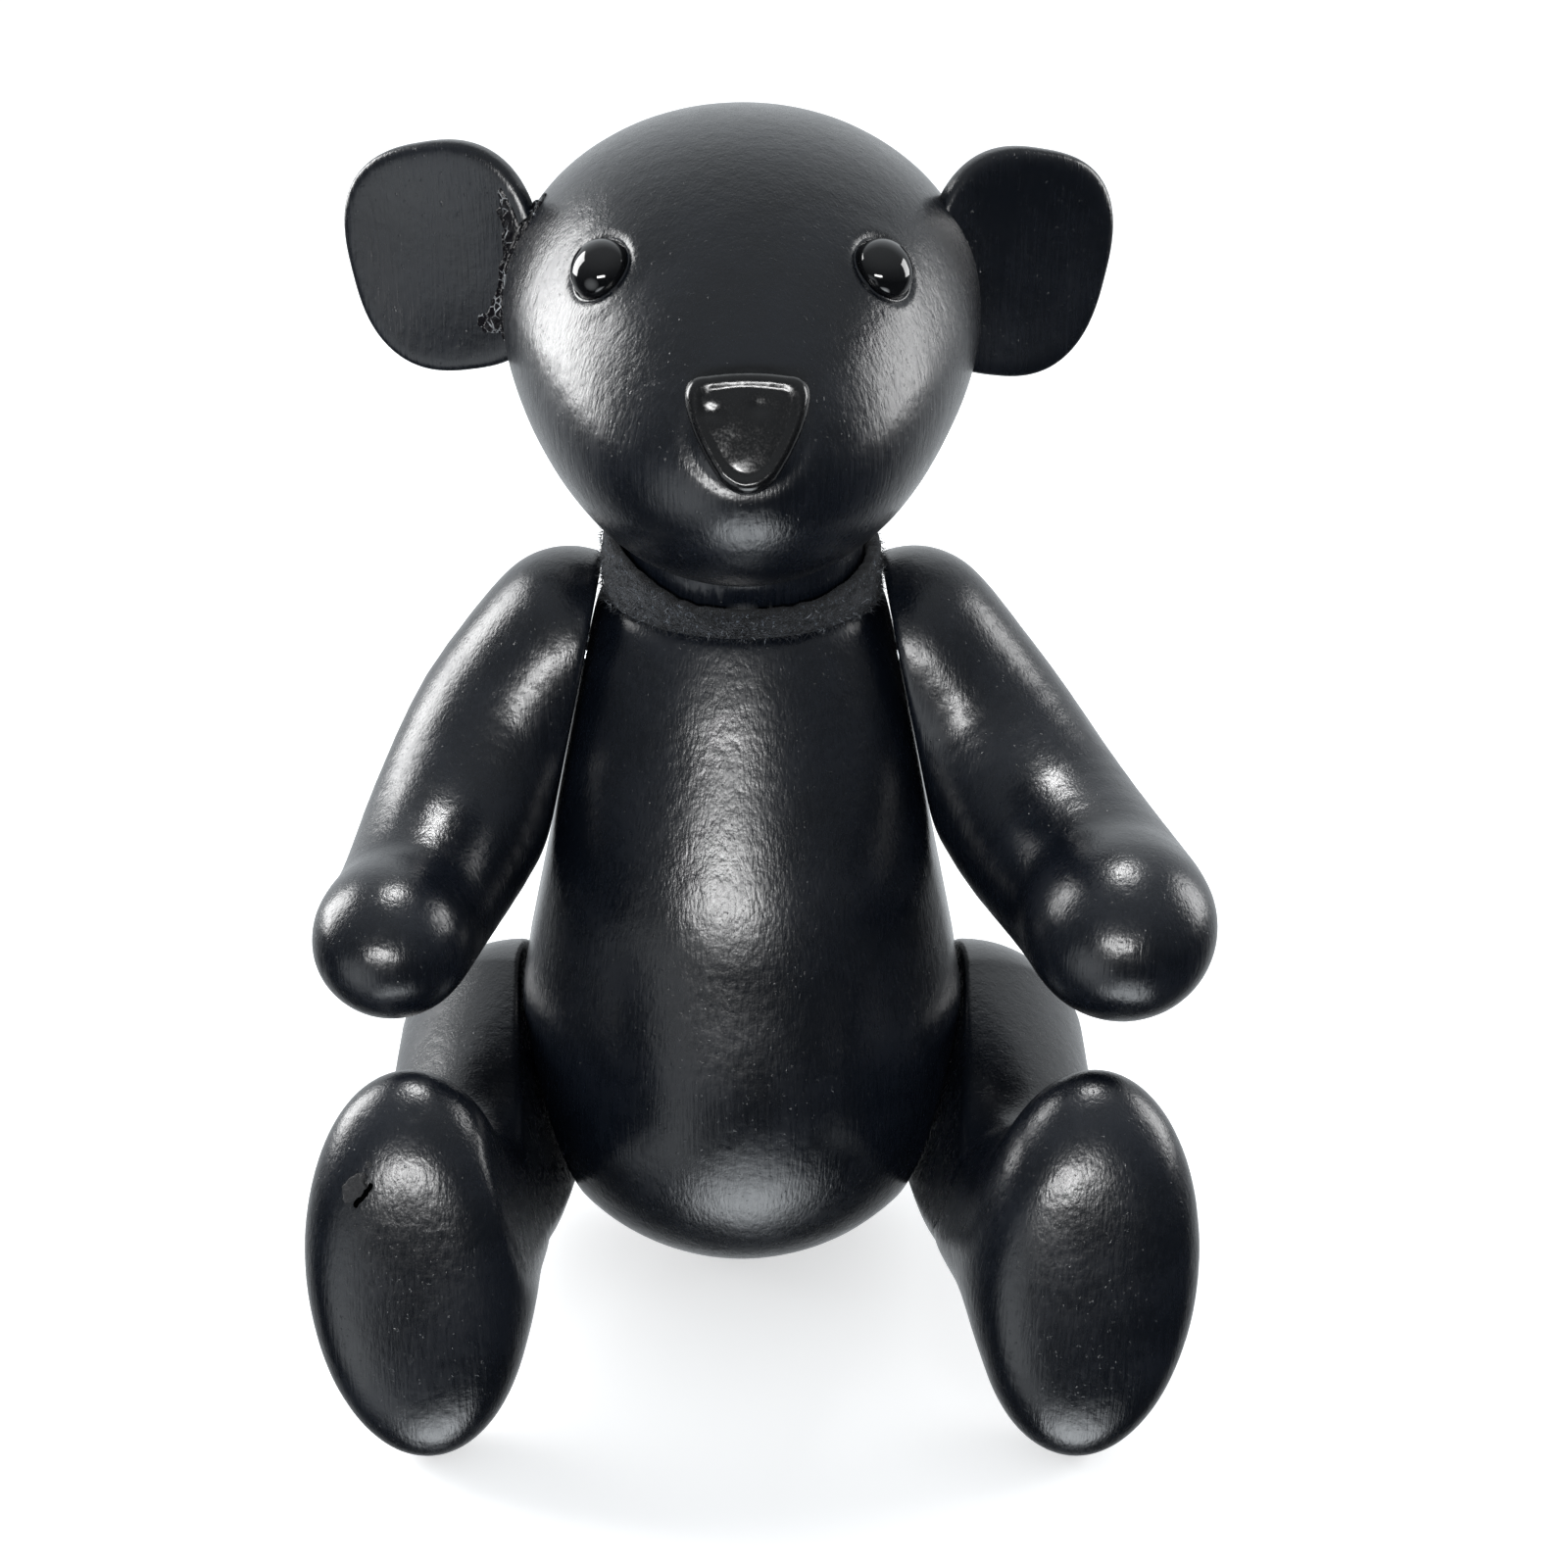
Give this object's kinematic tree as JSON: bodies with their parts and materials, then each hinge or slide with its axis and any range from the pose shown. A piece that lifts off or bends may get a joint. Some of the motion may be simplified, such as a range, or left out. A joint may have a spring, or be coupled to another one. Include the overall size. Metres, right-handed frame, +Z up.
{
  "type": "jointed teddy bear",
  "caption": "Seated hard jointed teddy bear in black lacquer: hollow body and head, turning neck, disc-jointed arms and legs, dished ears, glossy eyes and nose.",
  "frame": {"origin": "middle of the flat seat under the body, on the surface the bear sits on", "axes": "+Z up; -Y is the way the bear faces; +X is the bear's own left"},
  "size_m": [0.1546, 0.1248, 0.2159],
  "materials": {
    "lacquer": "satin black brushed lacquer over cast resin",
    "gloss_black": "polished black plastic",
    "felt": "black wool felt",
    "rubber": "matt black rubber",
    "beech": "bare turned beech",
    "nylon": "natural nylon",
    "steel": "bright zinc-plated steel",
    "spring_steel": "oiled spring steel",
    "brass": "turned brass"
  },
  "bodies": {
    "torso": {"torso_shell": "lacquer", "seat_plug": "rubber", "neck_bush": "nylon", "neck_disc": "nylon", "arm_left_bush": "nylon", "arm_right_bush": "nylon", "leg_left_bush": "nylon", "leg_right_bush": "nylon"},
    "head": {"head_shell": "lacquer", "head_plug": "beech", "neck_insert": "brass", "neck_stud": "steel", "neck_washer": "steel", "neck_spring": "spring_steel", "neck_nut": "steel", "neck_collar": "felt", "ear_left": "lacquer", "ear_right": "lacquer", "eye_left": "gloss_black", "eye_right": "gloss_black", "eye_catch_left": "nylon", "eye_catch_right": "nylon", "nose": "gloss_black", "nose_catch": "nylon"},
    "arm_left": {"arm_left": "lacquer", "arm_left_felt": "felt", "arm_left_insert": "brass", "arm_left_stud": "steel", "arm_left_washer": "steel", "arm_left_spring": "spring_steel", "arm_left_nut": "steel"},
    "arm_right": {"arm_right": "lacquer", "arm_right_felt": "felt", "arm_right_insert": "brass", "arm_right_stud": "steel", "arm_right_washer": "steel", "arm_right_spring": "spring_steel", "arm_right_nut": "steel"},
    "leg_left": {"leg_left": "lacquer", "leg_left_felt": "felt", "leg_left_insert": "brass", "leg_left_stud": "steel", "leg_left_washer": "steel", "leg_left_spring": "spring_steel", "leg_left_nut": "steel"},
    "leg_right": {"leg_right": "lacquer", "leg_right_felt": "felt", "leg_right_insert": "brass", "leg_right_stud": "steel", "leg_right_washer": "steel", "leg_right_spring": "spring_steel", "leg_right_nut": "steel"}
  },
  "joints": [
    {"name": "neck_turn", "type": "hinge", "parent": "torso", "child": "head", "pos_m": [0, 0, 0.134], "axis": [0, 0, 1], "continuous": true},
    {"name": "shoulder_left", "type": "hinge", "parent": "torso", "child": "arm_left", "pos_m": [0.028, 0.002, 0.121], "axis": [0.9781, 0, 0.2079], "range_deg": [-70, 120]},
    {"name": "hip_left", "type": "hinge", "parent": "torso", "child": "leg_left", "pos_m": [0.0364, -0.002, 0.0376], "axis": [0.9703, 0, -0.2419], "range_deg": [-5, 115]},
    {"name": "shoulder_right", "type": "hinge", "parent": "torso", "child": "arm_right", "pos_m": [-0.028, 0.002, 0.121], "axis": [0.9781, 0, -0.2079], "range_deg": [-70, 120]},
    {"name": "hip_right", "type": "hinge", "parent": "torso", "child": "leg_right", "pos_m": [-0.0364, -0.002, 0.0376], "axis": [0.9703, 0, 0.2419], "range_deg": [-5, 115]}
  ]
}
